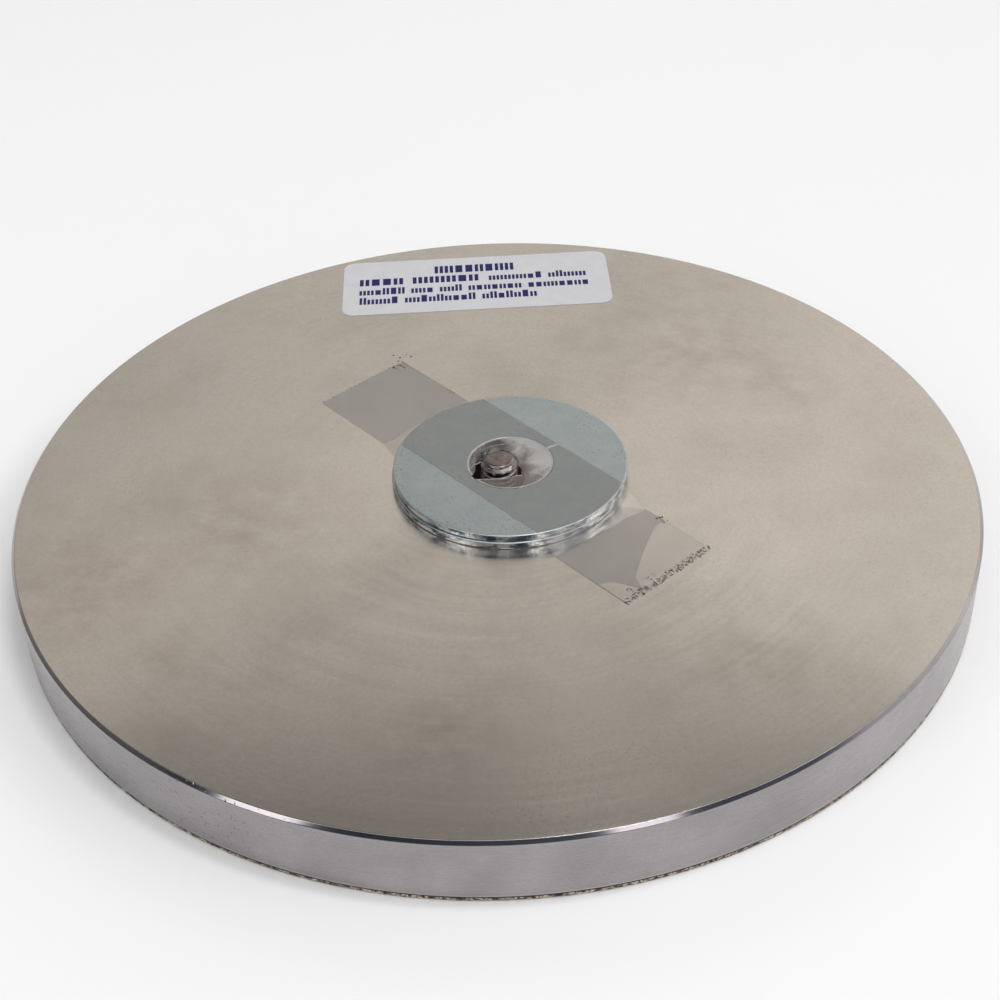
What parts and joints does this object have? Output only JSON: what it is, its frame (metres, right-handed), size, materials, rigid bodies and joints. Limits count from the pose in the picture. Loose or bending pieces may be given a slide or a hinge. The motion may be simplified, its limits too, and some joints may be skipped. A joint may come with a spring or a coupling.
{
  "type": "diamond grinding wheel",
  "caption": "Flat metal grinding wheel with a diamond layer on one face, a recessed hub, and its spacer washers and bolt held on the back by clear tape.",
  "frame": {"origin": "on the wheel's axis, in the grinding plane, which is the surface that the wheel lies on", "axes": "+Z along the wheel's axis from the grinding face to the back; +Y towards the label; +X to the right of it"},
  "size_m": [0.2032, 0.2032, 0.0192],
  "materials": {
    "plate": "fine turned, slightly stained",
    "bond": "dark cured adhesive",
    "diamond": "coarse grit in a sintered metal bond",
    "zinc": "bright zinc plate over punched steel",
    "bolt": "turned stainless steel",
    "film": "clear packing tape",
    "label": "semi-gloss white with navy print"
  },
  "bodies": {
    "wheel": {"backing_plate": "plate", "bond_layer": "bond", "diamond_layer": "diamond", "label": "label"},
    "lower_washer": {"spacer_washer_lower": "zinc"},
    "upper_washer": {"spacer_washer_upper": "zinc"},
    "tape": {"holding_tape": "film"},
    "bolt_seat": {"bolt_washer": "zinc"},
    "bolt": {"mounting_bolt": "bolt"}
  },
  "joints": [
    {"name": "lower_washer_lift", "type": "slide", "parent": "wheel", "child": "lower_washer", "axis": [0, 0, 1], "range_m": [0, 0.012]},
    {"name": "upper_washer_lift", "type": "slide", "parent": "lower_washer", "child": "upper_washer", "axis": [0, 0, 1], "range_m": [0, 0.012]},
    {"name": "tape_peel", "type": "hinge", "parent": "upper_washer", "child": "tape", "pos_m": [-0.0301, 0.0389, 0.01505], "axis": [-0.7536, -0.6574, 0], "range_deg": [0, 75]},
    {"name": "bolt_pull", "type": "slide", "parent": "wheel", "child": "bolt_seat", "axis": [0, 0, -1], "range_m": [0, 0.025]},
    {"name": "bolt_turn", "type": "hinge", "parent": "bolt_seat", "child": "bolt", "pos_m": [0.0011, 0.0011, 0.0065], "axis": [0, 0, 1], "continuous": true}
  ]
}
